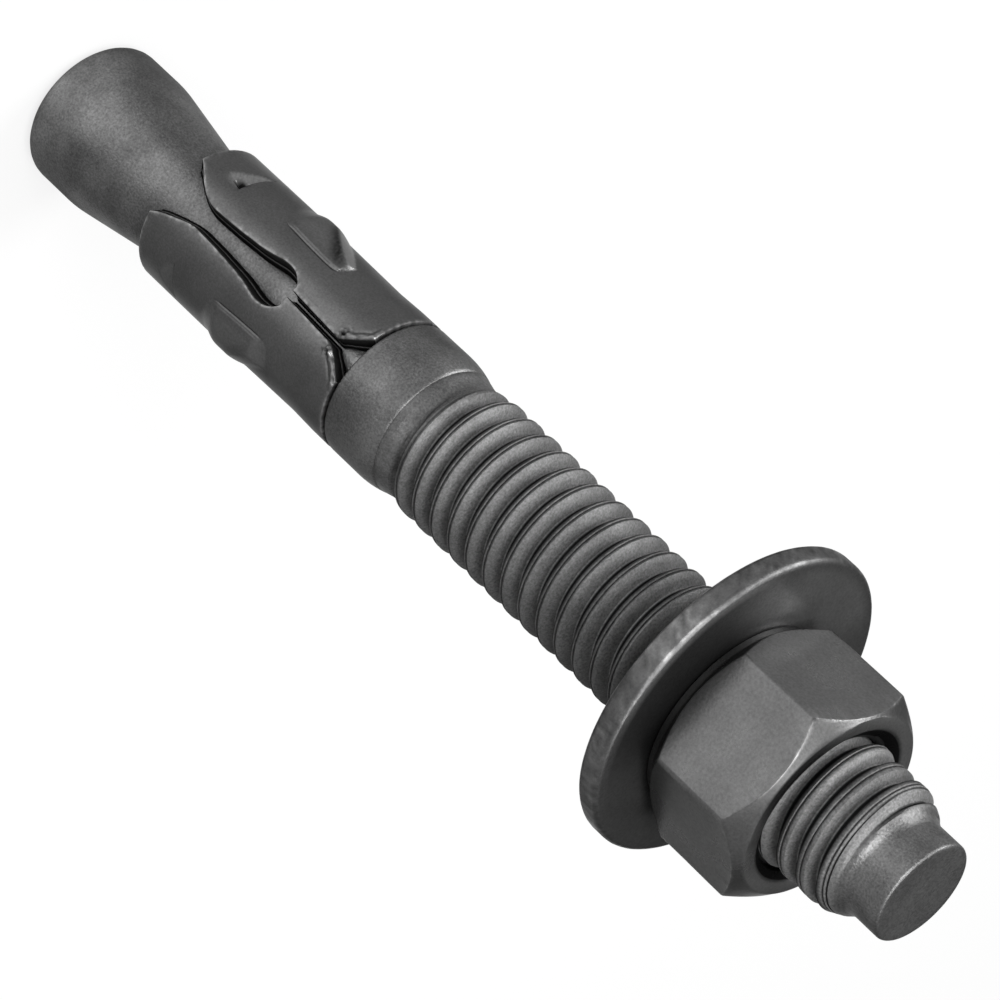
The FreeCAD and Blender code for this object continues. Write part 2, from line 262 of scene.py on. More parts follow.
def helix_band(shell, azimuths, first, turns, offsets, radius_at, shading_at, flip=False):
    """Surface round a thread, with rows that follow it, between two flat rings.

    The lower ring lies at the height first, and the upper one turns + 1 pitches above it.
    """
    count = len(azimuths)
    steps = len(offsets) - 1
    share = (azimuths - azimuths[0]) / (2 * math.pi)
    inner = np.array(offsets[1:-1])

    def spots(height, azimuth):
        """Add points of the threaded surface and return their numbers."""
        return shell.add(radius_at(height, azimuth), azimuth, height, shading_at(height, azimuth))

    lower = spots(np.full(count, first), azimuths)
    upper = spots(np.full(count, first + PITCH * (turns + 1)), azimuths)
    # Numbers of the points on the thread itself: turn, row in the turn, column.
    turn = np.arange(turns)[:, None, None]
    rows = np.array(offsets[:-1])[None, :, None]
    column = share[None, None, :]
    height = first + PITCH * (turn + rows + column)
    around = azimuths[None, None, :] + np.zeros_like(height)
    body = np.empty(height.shape, int)
    body[0, 0, 0] = lower[0]
    mask = np.ones(height.shape, bool)
    mask[0, 0, 0] = False
    body[mask] = spots(height[mask], around[mask])
    last_line = spots(first + PITCH * (turns + share), azimuths)
    last_edge = spots(first + PITCH * (turns + inner), np.full(len(inner), azimuths[0]))
    # The thread's rows, turn by turn.
    for number in range(turns):
        following = body[number + 1] if number + 1 < turns else None
        top = last_line if following is None else following[0]
        grid = np.concatenate([body[number], top[None, :]], axis=0)
        if following is None:
            edge = np.concatenate([last_line[:1], last_edge, upper[:1]])
        else:
            beyond = last_line[0] if number + 2 == turns else body[number + 2, 0, 0]
            edge = np.append(following[:, 0], beyond)
        shell.quads(np.concatenate([grid, edge[:, None]], axis=1), flip=flip)
    # The wedge below the first turn and the wedge above the last one.
    share_in = share[None, 1:]
    around_in = azimuths[None, 1:] + np.zeros((len(inner), 1))
    below = spots(first + PITCH * share_in * inner[:, None], around_in)
    grid = np.empty((steps + 1, count + 1), int)
    grid[0, :count] = lower
    grid[1:, 0] = lower[0]
    grid[1:steps, 1:count] = below
    grid[steps, 1:count] = body[0, 0, 1:]
    grid[:steps, count] = body[0, :, 0]
    grid[0, count] = lower[0]
    grid[steps, count] = body[1, 0, 0]
    shell.quads(grid, flip=flip)
    above = spots(first + PITCH * (turns + share_in + (1 - share_in) * inner[:, None]), around_in)
    grid[0, :count] = last_line
    grid[1:steps, 0] = last_edge
    grid[steps, :count] = upper
    grid[1:steps, 1:count] = above
    grid[:, count] = upper[0]
    shell.quads(grid, flip=flip)
    return lower, upper


def groove_offset(height, azimuth, start):
    """Distance from the middle of the nearest groove, and turns since the groove's start."""
    turns = (height - start) / PITCH - (azimuth / (2 * math.pi) + 0.5)
    nearest = np.round(turns)
    return (turns - nearest) * PITCH, nearest + azimuth / (2 * math.pi) + 0.5


def crest_place(height, azimuth):
    """Distance up the pitch from the middle of the groove, and turns since the groove's start."""
    offset, turns = groove_offset(height, half_turn(azimuth), GROOVE_START)
    return np.where(offset < 0, offset + PITCH, offset), turns


def crest_seam(place, azimuth, height):
    """Depth of the seam that rolling leaves along the crest, and of the fine line above it."""
    rough = grain_round(CREST, azimuth, height, 3.1)
    fine = grain_round(CREST, azimuth, height, 7.0, 31.0)
    patch = 0.5 + 0.5 * grain_round(CREST, azimuth, height, 0.45, 7.0)
    wander = SEAM_PLACE + 0.012 * rough
    seam = np.exp(-((place - wander) / 0.042) ** 2) * (0.08 + 0.04 * patch + 0.07 * fine * patch)
    line = np.exp(-((place - LINE_PLACE) / 0.028) ** 2) * (0.04 + 0.03 * fine)
    lip = np.exp(-((place - 0.80) / 0.07) ** 2) * (0.012 * fine + 0.03 * np.maximum(rough * fine, 0.0))
    return np.maximum(seam, 0.0) + np.maximum(line, 0.0) - lip


def stud_radius(height, azimuth):
    """Radius of the rolled thread and of the plain shank at its two ends."""
    blank = np.interp(height, *zip(*BLANK))
    place, turns = crest_place(height, azimuth)
    # The flank that faces the cone is a little steeper than the other one.
    away = np.where(place < 0.75, place * 1.24 - 0.02, PITCH - place)
    groove = ROOT + np.sqrt(np.maximum(away - ROOT_HALF, 0.0) ** 2 / FLANK ** 2 + 0.0009) - 0.03
    fade = ease((turns - 0.12) / 0.2)
    depth = np.maximum(blank - groove, 0.0) * fade
    seam = crest_seam(place, azimuth, height) * ease((turns - 0.3) / 0.3)
    return blank - depth - seam * (blank > 3.6)


def stud_shading(height, azimuth):
    """Painted shade at the thread's root, in the crest's seam and in the fine line at its upper edge, and
    painted highlights on the crest's two edges and its upper flank.
    """
    place, turns = crest_place(height, azimuth)
    root = np.maximum(ease((0.45 - place) / 0.04), ease((place - PITCH + 0.13) / 0.12))
    torn = grain_round(CREST, azimuth, height, 3.1)
    seam = ease((0.062 - np.abs(place - SEAM_PLACE - 0.012 * torn)) / 0.04)
    line = ease((0.065 - np.abs(place - LINE_PLACE)) / 0.035)
    # Painted highlights along the crest's two edges, and painted light on the upper flank.
    crest = 2.4 * np.exp(-((place - 0.61) / 0.06) ** 2) + 2.2 * np.exp(-((place - 0.87) / 0.05) ** 2)
    crest = crest * np.clip(0.9 + 0.6 * torn, 0.3, 1.6)
    flank = 0.25 * ease((place - 1.01) / 0.03)
    inside = ease((height - GROOVE_START) / 1.0) * ease((THREAD_TOP - height) / 0.3)
    dark = np.maximum(root, 0.95 * np.maximum(seam, line))
    return np.clip(dark - (0.3 * crest + flank) * (1 - dark), -1.0, 1.0) * ease(turns / 0.4) * inside


def make_stud():
    """Cone, neck, collar, rolled thread and dog point in one piece."""
    shell = Shell()
    azimuths = math.radians(60) + np.arange(COLUMNS) * 2 * math.pi / COLUMNS
    line = rounded([
        (2.0, 0.0, 0), (LAND, 0.0, 1.1), (LAND, LAND_TOP, 8.0), (NECK, 13.73, 6.0),
        (NECK, COLLAR_BASE, 0.2), (COLLAR, COLLAR_BASE, 0.3), (COLLAR, CROWN_BASE, 0)], steps=7)
    for step in range(1, 9):
        rise = CROWN_HEIGHT * step / 8
        line.append((COLLAR - CROWN_ROUND + math.sqrt(CROWN_ROUND ** 2 - rise ** 2), CROWN_BASE + rise))
    line += [(4.46, 33.98), (4.43, 34.02), (4.45, 34.08), (4.40, 34.3), (4.36, 34.48), (4.33, 34.55)]
    line = divided(line, 0.45)

    def painted_shade(azimuth, height):
        """Painted shade on the cone's land, left off a strip below the seam that stands as a painted
        highlight, and a painted highlight on the neck just below the collar in the seam's notch.
        """
        unshaded_strip = np.exp(-((half_turn(azimuth) + math.radians(97)) / math.radians(30)) ** 2)
        notch = azimuth_patch(azimuth, -90, 28) * ease((height - 27.6) / 0.5) * ease((29.4 - height) / 0.1)
        return 0.55 * ease((7.0 - height) / 4.5) * (1 - 0.95 * unshaded_strip) - 0.6 * notch

    def lifted(radius, azimuth, height):
        """Radius with the slight waves of the forging, which end at the flat end."""
        waves = grain_round(radius, azimuth, height, 0.35, 3.0)
        return radius + 0.012 * waves * ease(height / 2.0)

    first, last = shell.rings(line, azimuths, lifted, painted_shade)
    shell.cap(first, 0.0, up=False)
    # The rows start half a pitch below the groove's own start at the first column.
    start = GROOVE_START + PITCH * (240 / 360 - 0.5)
    # Rows up the pitch: root, lower flank, the crest with its seam between 0.49 and 1.0, upper flank.
    places = [0.0, 0.1256, 0.3, 0.45, 0.492, 0.53, 0.57, 0.61, 0.65, 0.69, 0.72, 0.75, 0.78, 0.81]
    places += [0.84, 0.88, 0.91, 0.94, 0.965, 0.985, 0.9975, 1.03, 1.2, 1.4605, 1.52, PITCH]
    offsets = [place / PITCH for place in places]
    lower, upper = helix_band(shell, azimuths, start, THREAD_TURNS, offsets, stud_radius, stud_shading)
    shell.quads(np.stack([last, lower]), closed=True)
    rows = np.linspace(start + (THREAD_TURNS + 1) * PITCH, POINT_BASE, 9)[1:]
    grid = [upper]
    for height in rows:
        level = np.full(COLUMNS, height)
        grime = stud_shading(level, azimuths)
        grid.append(shell.add(stud_radius(level, azimuths), azimuths, level, grime))
    shell.quads(np.stack(grid), closed=True)
    tip = rounded([(POINT, POINT_BASE + 0.1, 0), (POINT, STUD_TOP, 0.22), (0.5, STUD_TOP, 0)], steps=5)
    tip_first, tip_last = shell.rings(divided(tip, 0.4), azimuths)
    shell.quads(np.stack([grid[-1], tip_first]), closed=True)
    shell.cap(tip_last, STUD_TOP, up=True)

    def matt(x, y, z):
        """The rolled thread is duller than the cone, the collar and the point."""
        return ease((z - 34.3) / 0.6) * ease((73.6 - z) / 0.4)

    shell.matt = matt
    return shell.piece("threaded_stud", "stud", "anchor_stud", "stud_steel")


def slot_half(height, mouth):
    """Half width of a slot between two fingers at a height above the clip's cone-side edge."""
    spots = [0.0, 0.5, 1.2, 2.4, 3.3, 5.5, 7.8, 8.7, 9.4, 9.9, 10.4, 10.85, 11.2, 11.4, SLOT_TOP]
    halves = [mouth, mouth - 0.3, 0.35 + 0.54 * mouth, 1.02, 0.78, 0.86, 1.06, 1.22, 1.42, 1.5, 1.45]
    halves += [1.3, 1.06, 0.86, 0.72]
    soft = sum(np.interp(height + step, spots, halves) for step in (-0.3, 0.0, 0.3)) / 3
    softened = ease((10.6 - height) / 0.5) * ease(height / 0.8)
    return np.interp(height, spots, halves) * (1 - softened) + soft * softened


def seam_half(height):
    """Half width of the seam and of its notch at the collar-side edge."""
    spots = [SLOT_TOP, 15.95, 16.1, 16.25, 16.45, 16.75, 17.1, 17.5, SHEET_HEIGHT]
    halves = [0.25, 0.25, 0.29, 0.38, 0.55, 0.78, 1.07, 1.45, 1.75]
    return np.interp(height, spots, halves)


def seam_middle(height):
    """The seam isn't quite straight: how far its middle lies beside the clip's own line."""
    return np.interp(height, [SLOT_TOP, 16.2], [-0.19, 0.06])


def seam_side(height):
    """Distance from the seam's middle at which the fingers' own columns start."""
    return np.interp(height, [SLOT_TOP, 15.6, 16.6, SHEET_HEIGHT], [0.72, 0.8, 1.3, 2.15])


def clip_heights():
    """Heights of the clip's rows, close together where edges and pressed forms lie."""
    rows = [0.0, 0.03, 0.1, 0.25, 0.5, 0.8, 1.1, 1.4, 1.6, 1.75, 1.9, 2.05, 2.2, 2.35, 2.5, 2.65, 2.8]
    rows += [2.92, 3.02, 3.1, 3.18, 3.25, 3.31, 3.36, 3.395, 3.41, 3.43, 3.46, 3.55, 3.7, 4.0, 4.4]
    rows += [4.8, 5.2, 5.6, 5.9, 6.15, *np.arange(6.35, 11.45, 0.13), 11.47, SLOT_TOP, 11.53]
    rows += [*np.arange(11.62, 12.85, 0.07), *np.arange(13.0, 15.3, 0.3)]
    rows += [*np.arange(15.3, 17.65, 0.08), 17.7, 17.77, SHEET_HEIGHT]
    return np.array(rows)


def crease_line(height):
    """Distance of a bump's crease from the middle of its finger."""
    spots = [6.3, 6.9, 7.5, 9.3, 11.1, 11.8, 12.1, 12.3, 12.5]
    return np.interp(height, spots, [0.6, 1.5, 1.63, 1.74, 1.79, 1.76, 1.68, 1.2, 0.4])


def clip_relief(toward, height, kind):
    """How the pressed bump and the nick of one finger lift and sink the sheet, and their painted light
    and shade.

    The distance toward the seam counts from the middle of the finger.
    """
    # The bump: a low crease on the seam's side, a round back, and a facet towards the collar.
    inward = crease_line(height) - toward
    along = np.sin(math.pi / 2 * np.clip((height - 6.2) / 2.0, 0.0, 1.0)) ** 1.2
    back = ease((toward + 2.4) / 1.5)
    round_up = np.sin(math.pi / 2 * np.clip(inward / 2.4, 0.0, 1.0))
    step = 0.05 * ease((inward + 0.015) / 0.04) + 0.05 * ease((inward - 0.09) / 0.05)
    start = ease((height - 6.9) / 1.1)
    if kind != "deep":
        start = start * ease((12.0 - height) / 1.0)
        along = along * ease((12.7 - height) / 1.8)
    dome = (0.40 * round_up * along + step * start) * back * (inward > -0.02)
    reach = 0.0 if kind == "deep" else 0.35
    facet = (toward + 1.26) * 0.774 - (height - 10.46 - reach) * 0.633
    facet_lift = 0.42 * np.maximum(facet, 0.0) ** 0.9
    gap = dome - facet_lift
    lift = dome - 0.5 * (gap + np.sqrt(gap ** 2 + 0.0009)) + 0.015 * np.exp(-np.abs(gap) * 8)
    lift = np.maximum(lift, 0.0)
    groove = 0.03 * np.exp(-((inward + 0.05) / 0.03) ** 2) * start * ease((12.2 - height) / 0.5)
    lift = lift - groove
    fine = grain(toward, height, 0.0, 5.0, 3.0)
    on_bump = (inward > 0.0) & (facet > 0.0) & (height > 6.6)
    # Painted shade in a patch on the bump and in two lines along its crease, and painted highlights along
    # the crease's edge and on the facet towards the collar.
    patch = np.exp(-((facet - 1.25) / 0.4) ** 2) * ease((height - 8.2) / 1.2) * ease((1.7 - toward) / 0.6)
    patch = patch * on_bump * ease(-gap / 0.04) * np.clip(0.8 + 0.6 * fine, 0.0, 1.0)
    bright = 0.6 * ease(gap / 0.05) * on_bump * ease((height - 8.6) / 1.5)
    crease = 0.9 * np.exp(-((inward + 0.035) / 0.035) ** 2) * start * (height < 12.3)
    second = 0.6 * np.exp(-((inward - 0.085) / 0.025) ** 2) * start * (height < 11.5)
    edge = 0.15 * np.exp(-((inward - 0.03) / 0.03) ** 2) * start * (height < 12.3)
    edge = edge + 0.15 * on_bump * ease((inward - 0.3) / 0.5) * ease((facet - 1.5) / 0.4) * along
    grime = crease + second - edge
    if kind == "deep":
        grime = grime + patch - bright
    # The nick: a sheared facet that ends in a pit near the seam.
    if kind == "deep":
        spots = [-0.9, -0.06, 0.8, 1.21, 1.74, 2.0, 2.2]
        rise = np.interp(toward, spots, [3.4, 2.82, 2.45, 2.1, 1.8, 2.2, 3.4])
        slope = 0.27
        pit = np.exp(-((toward - 1.66) / 0.33) ** 2 - ((height - 3.02) / 0.36) ** 2)
    else:
        rise = 3.4 - 1.3 * np.clip(1 - (toward / 1.5) ** 2, 0.0, 1.0)
        slope = 0.13 if kind == "plain" else 0.25
        pit = np.zeros_like(toward)
    below = np.maximum(height - rise, 0.0)
    cut = height < 3.40
    nick = (slope * below + 0.34 * pit) * cut
    wide = ease((rise < 3.38) * (3.45 - rise) / 0.3)
    # Painted shadow in a line along the cut's upper edge and in the pit, the sheared facet lighter, and a
    # painted highlight beside the pit.
    line = np.exp(-((height - 3.385) / 0.035) ** 2) * wide
    lighter_facet = ease(below / 0.15) * cut * (0.5 + 0.4 * fine) * (0.9 if kind == "deep" else 0.3)
    rim = np.exp(-((toward - 2.05) / 0.1) ** 2 - ((height - 2.6) / 0.45) ** 2) * (kind == "deep")
    grime = grime + 0.9 * line - lighter_facet - 0.6 * rim
    grime = grime + (1.0 - grime) * ease(pit * 2.2)
    return lift, nick, np.clip(grime, -1.0, 1.0)


def make_clip():
    """The rolled sheet: three fingers, bridged above the slots and open at the seam."""
    rows = clip_heights()
    # Distances of the columns from a finger's middle, and outwards from its bump to its edge.
    inner = [0.0, 0.2, 0.4, 0.6, 0.8, 1.0, 1.2, 1.38, 1.48, 1.55, 1.6, 1.64, 1.68, 1.72]
    inner += [1.76, 1.82, 1.9, 2.1]
    inner = [-value for value in reversed(inner[1:])] + inner
    outer = [0.0, 0.12, 0.26, 0.4, 0.55, 0.7, 0.83]
    gaps = [0.2, 0.1, 0.03, 0.0]
    # The columns beside the bumps follow their creases.
    crease_shift = np.clip(crease_line(rows), 1.55, 1.8) - 1.65
    # Each column is a list of azimuths, one for each row, and is owned by a finger or by none.
    columns = []
    owners = []
    span = math.radians(60) * SHEET_RADIUS
    above_slots = np.maximum(rows, SLOT_TOP)
    for middle, slot_before, slot_after, kind in FINGERS:
        before = slot_half(rows, SLOTS[slot_before][1])
        after = slot_half(rows, SLOTS[slot_after][0])
        start = np.where(rows < SLOT_TOP, before, seam_side(rows)) - span
        end = span - np.where(rows < SLOT_TOP, after, seam_side(rows))
        low = [start + gap for gap in reversed(gaps)]
        low += [start + 0.2 + (-2.1 - start - 0.2) * share for share in outer[1:]]
        high = [end - 0.2 - (end - 0.2 - 2.1) * share for share in reversed(outer[1:])]
        high += [end - gap for gap in gaps]
        shares = np.interp(np.abs(inner), [1.0, 1.4, 1.76, 2.1], [0, 1, 1, 0]) * np.sign(inner)
        middle_columns = [value + crease_shift * share for value, share in zip(inner, shares)]
        for across in low + middle_columns + high:
            columns.append(math.radians(middle) + across / SHEET_RADIUS)
            owners.append(middle)
        wide = seam_side(above_slots)
        if slot_after == SEAM:
            seam = seam_half(above_slots)
            shares = (0.13, 0.27, 0.41, 0.55, 0.7, 0.85, 1.0)
            places = [wide - (wide - seam - 0.1) * share for share in shares] + [seam + 0.03, seam]
            open_column = len(columns) + len(places) - 1
            places = [-place for place in places] + places[::-1]
            places = [place + seam_middle(rows) for place in places]
        else:
            places = [wide * share for share in (-0.75, -0.5, -0.25, 0.0, 0.25, 0.5, 0.75)]
        for place in places:
            columns.append(math.radians(slot_after) + place / SHEET_RADIUS)
            owners.append(None)
    azimuth = np.array(columns).T
    count = azimuth.shape[1]
    height = rows[:, None] + np.zeros(count)
    spots = [0, 5.5, 9, 14.3, 16.3, SHEET_HEIGHT]
    radius = np.interp(height, spots, [SHEET_RADIUS, SHEET_RADIUS, 4.745, 4.66, 4.73, 4.73])
    grime = np.zeros_like(radius)
    for middle, slot_before, slot_after, kind in FINGERS:
        turn = half_turn(azimuth - math.radians(middle))
        toward = turn * SHEET_RADIUS * (-1 if slot_before == SEAM else 1)
        near = np.abs(toward) < 3.4
        lift, nick, shade_paint = clip_relief(toward[near], height[near], kind)
        radius[near] += lift - nick
        grime[near] += shade_paint
    # Distance of each point from the nearest free edge of the sheet.
    around = ((azimuth + math.pi) % (2 * math.pi)) * SHEET_RADIUS
    free = np.minimum(height, SHEET_HEIGHT - height)
    line = np.concatenate([np.arange(0, 10.4, 0.2), np.arange(10.4, SLOT_TOP, 0.05), [SLOT_TOP]])
    above = np.concatenate([np.arange(SLOT_TOP, 16.3, 0.4), np.arange(16.3, 17.81, 0.1)])
    for middle, mouths in SLOTS.items():
        centre = (math.radians(middle) + math.pi) * SHEET_RADIUS
        for side, mouth in zip((-1, 1), mouths):
            edge_s = centre + side * slot_half(line, mouth)
            if middle == SEAM:
                edge_s = np.append(edge_s, centre + seam_middle(above) + side * seam_half(above))
                edge_z = np.append(line, above)
            else:
                edge_s = np.append(edge_s, centre)
                edge_z = np.append(line, SLOT_TOP)
            near = np.abs(around - centre) < 3.2
            spot_s = around[near][:, None]
            spot_z = height[near][:, None]
            run_s = np.diff(edge_s)[None, :]
            run_z = np.diff(edge_z)[None, :]
            along = (spot_s - edge_s[None, :-1]) * run_s + (spot_z - edge_z[None, :-1]) * run_z
            along = np.clip(along / (run_s ** 2 + run_z ** 2 + 1e-12), 0.0, 1.0)
            gap_s = spot_s - edge_s[None, :-1] - along * run_s
            gap_z = spot_z - edge_z[None, :-1] - along * run_z
            distance = np.sqrt(gap_s ** 2 + gap_z ** 2).min(axis=1)
            free[near] = np.minimum(free[near], distance)
    past_edge = np.maximum(SHEET_EDGE - free, 0)
    rounding = SHEET_EDGE - np.sqrt(np.maximum(SHEET_EDGE ** 2 - past_edge ** 2, 0))
    rough = grain_round(radius, azimuth, height, 4.0, 11.0)
    torn = grain_round(radius, azimuth, height, 2.4, 17.0)
    burr = np.exp(-(free / 0.12) ** 2) * 0.02 * rough
    beside = np.abs((azimuth + math.radians(90)) * SHEET_RADIUS)
    notch = ease((height - 15.5) / 0.5) * ease((2.6 - beside) / 0.6)
    corner = np.exp(-((beside - 0.75) / 0.35) ** 2 - ((height - 16.1) / 0.35) ** 2)
    curl = np.exp(-((free - 0.2) / 0.13) ** 2) * notch * (0.07 + 0.10 * torn + 0.06 * rough)
    curl = curl + corner * (0.04 + 0.22 * rough + 0.1 * torn)
    fold = np.exp(-((free - 0.45) / 0.07) ** 2) * notch * 0.04
    # Lighter along the sheet's free edges, painted shade along the fold beside the notch, and mottled
    # lighter and darker at the curled corner.
    lifted = np.exp(-(free / 0.2) ** 2) * np.clip(0.35 + 1.5 * rough, -0.7, 1.2)
    grime = grime - 0.7 * lifted + 8.0 * fold * (0.6 + torn) + corner * (0.1 - 1.6 * rough)
    grime = np.clip(grime, -1.0, 1.0)
    outside = radius - rounding + burr + curl - fold
    inside = np.maximum(radius - SHEET_WALL + rounding * 0.8, NECK + 0.2)
    # Where there is sheet: nothing between two fingers below the slots' ends, nor in the seam.
    tall = len(rows) - 1
    present = np.ones((tall, count), bool)
    low_rows = rows[:-1] < SLOT_TOP - 1e-6
    for column, owner in enumerate(owners):
        if owner is None or owner != owners[(column + 1) % count]:
            present[low_rows, column] = False
    present[:, open_column] = False
    # Which way each point of a free edge faces: round the sheet, and along it.
    facing = np.zeros((2, tall + 1, count))
    for row, column in np.argwhere(present):
        side = (column + 1) % count
        if not present[row, column - 1]:
            facing[0, row:row + 2, column] -= 0.5
        if not present[row, side]:
            facing[0, row:row + 2, side] += 0.5
        if 0 < row and not present[row - 1, column]:
            facing[1, row, [column, side]] -= 0.5
    length = np.maximum(np.hypot(facing[0], facing[1]), 1e-6)
    facing = facing / np.maximum(length, 1.0)
    shell = Shell()
    # Beside a free edge the inner face reaches in to just above the cone and the neck.
    cone = LAND - (SHEET_BASE + height - LAND_TOP) * CONE_SLOPE + 0.03
    lip = np.maximum(NECK + 0.12, cone)
    # Down the sheared edge: each line is (radius, reach out of the edge, shading). The wall is painted
    # nearly black as shade, with a lighter line near its inner edge.
    lines = [(outside, 0.0, grime), (outside - 0.07, 0.0, 0.7), (inside + 0.16, 0.0, 1.0),
             (inside + 0.10, 0.02, -0.9), (inside + 0.05, 0.05, 0.2), (inside + 0.01, 0.08, 1.0)]
    grids = []
    for radial, reach, shade_paint in lines:
        turned = azimuth + facing[0] * reach / SHEET_RADIUS
        grids.append(shell.add(radial, turned, SHEET_BASE + height + facing[1] * reach, shade_paint))
    free_edge = np.abs(facing).sum(axis=0) > 0
    under_radius = np.where(free_edge, np.minimum(lip, inside), inside)
    burr_reach = 0.19 - 0.13 * ease((height - 16.0) / 0.3)
    turned = azimuth + facing[0] * burr_reach / SHEET_RADIUS
    # The sheet's inner face is painted nearly black, as shade.
    under = shell.add(under_radius, turned, SHEET_BASE + height + facing[1] * burr_reach, 1.0)
    top = grids[0]
    sheared = grids + [under]
    plain = [top, under]

    def wall(stack, first, second):
        """Faces down an edge between two points of the sheet's outer face."""
        for upper, lower in zip(stack, stack[1:]):
            corners = lower[first], lower[second], upper[second], upper[first]
            shell.faces.append([int(corner) for corner in corners])

    for row in range(tall):
        for column in range(count):
            if not present[row, column]:
                continue
            side = (column + 1) % count
            corners = [(row, column), (row, side), (row + 1, side), (row + 1, column)]
            shell.faces.append([int(top[corner]) for corner in corners])
            shell.faces.append([int(under[corner]) for corner in reversed(corners)])
            if row == 0:
                wall(plain, corners[0], corners[1])
            elif not present[row - 1, column]:
                wall(sheared, corners[0], corners[1])
            if row == tall - 1:
                wall(plain, corners[2], corners[3])
            elif not present[row + 1, column]:
                wall(sheared, corners[2], corners[3])
            if not present[row, column - 1]:
                wall(sheared, corners[3], corners[0])
            if not present[row, side]:
                wall(sheared, corners[1], corners[2])
    return shell.piece("rolled_clip", "clip", "expansion_clip", "clip_steel")


def make_washer():
    """The stamped washer with its soft sheared rim."""
    shell = Shell(WASHER_SHIFT)
    azimuths = np.arange(WASHER_COLUMNS) * 2 * math.pi / WASHER_COLUMNS
    line = rounded([
        (WASHER_HOLE, 0.8, 0), (WASHER_HOLE, WASHER_THICK, 0.15), (WASHER_RIM, WASHER_THICK, 0.42),
        (WASHER_RIM, 0.0, 0.4), (WASHER_HOLE, 0.0, 0.15), (WASHER_HOLE, 0.8, 0)], steps=6)
    line = [(r, z + WASHER_BASE) for r, z in divided(line, 0.6)]
    radius, around, height = laid_round(line[:-1], azimuths)
    # The rim is drawn in a little and wavy, as the shear left it.
    share = ease((radius - 9.3) / 0.9)
    waves = grain_round(radius, around, height * 0.3, 0.5, 5.0)
    fine = grain_round(radius, around, height, 2.2, 9.0)
    radius = radius + share * (0.015 * waves + 0.008 * fine - 0.02)
    # Painted shade on the front of the top face and painted light on its side round -172 degrees, and
    # mottled painted light and shade along the rim's edge.
    face = ease((height - WASHER_TOP + 0.12) / 0.1) * ease((10.0 - radius) / 0.5)
    grime = face * (0.9 * azimuth_patch(around, -80, 50) - 0.35 * azimuth_patch(around, -172, 34))
    mottle = grain_round(radius, around, height, 2.6, 41.0)
    grime = grime + ease((radius - 9.9) / 0.2) * np.clip(0.1 + 0.6 * mottle, -0.3, 0.5)
    grid = shell.add(radius, around, height, grime)
    shell.quads(np.concatenate([grid, grid[:1]]), closed=True, flip=True)
    return shell.piece("stamped_washer", "washer", "washer", "washer_steel")


def nut_thread(height, azimuth):
    """Radius of the nut's own thread, opened by a countersink at each end."""
    offset, turns = groove_offset(height, half_turn(azimuth), GROOVE_START + PITCH / 2)
    radius = NUT_ROOT - np.maximum(np.abs(offset) - 0.26, 0.0) / FLANK
    radius = np.clip(radius, NUT_CREST, NUT_ROOT)
    low = SINK_BELOW - (height - NUT_BASE) / SINK_SLOPE
    high = SINK_ABOVE - (NUT_BASE + NUT_HEIGHT - height) / SINK_SLOPE
    return np.maximum(radius, np.maximum(low, high))


def nut_thread_shading(height, azimuth):
    """Painted shade in the nut's thread, darkest at its root."""
    return np.where(nut_thread(height, azimuth) > 4.6, 1.0, 0.6)


def nut_hexagon(azimuths):
    """Distance of the nut's flats and rounded corners from the thread's axis."""
    hexagon = np.full(NUT_COLUMNS, 1e9)
    for index in range(6):
        facing = math.radians(NUT_TURNED + 30 + 60 * index)
        share = np.cos(azimuths - facing)
        reach = NUT_HALF + NUT_SHIFT * math.cos(facing)
        hexagon = np.where(share > 0.2, np.minimum(hexagon, reach / np.maximum(share, 0.2)), hexagon)
    corner = NUT_HALF / math.cos(math.radians(30)) + NUT_SHIFT * np.cos(azimuths)
    corner_turn = (azimuths - math.radians(NUT_TURNED)) % math.radians(60)
    corner_turn = np.minimum(corner_turn, math.radians(60) - corner_turn)
    return np.minimum(hexagon, corner - 0.06 - 0.9 * corner_turn ** 2)


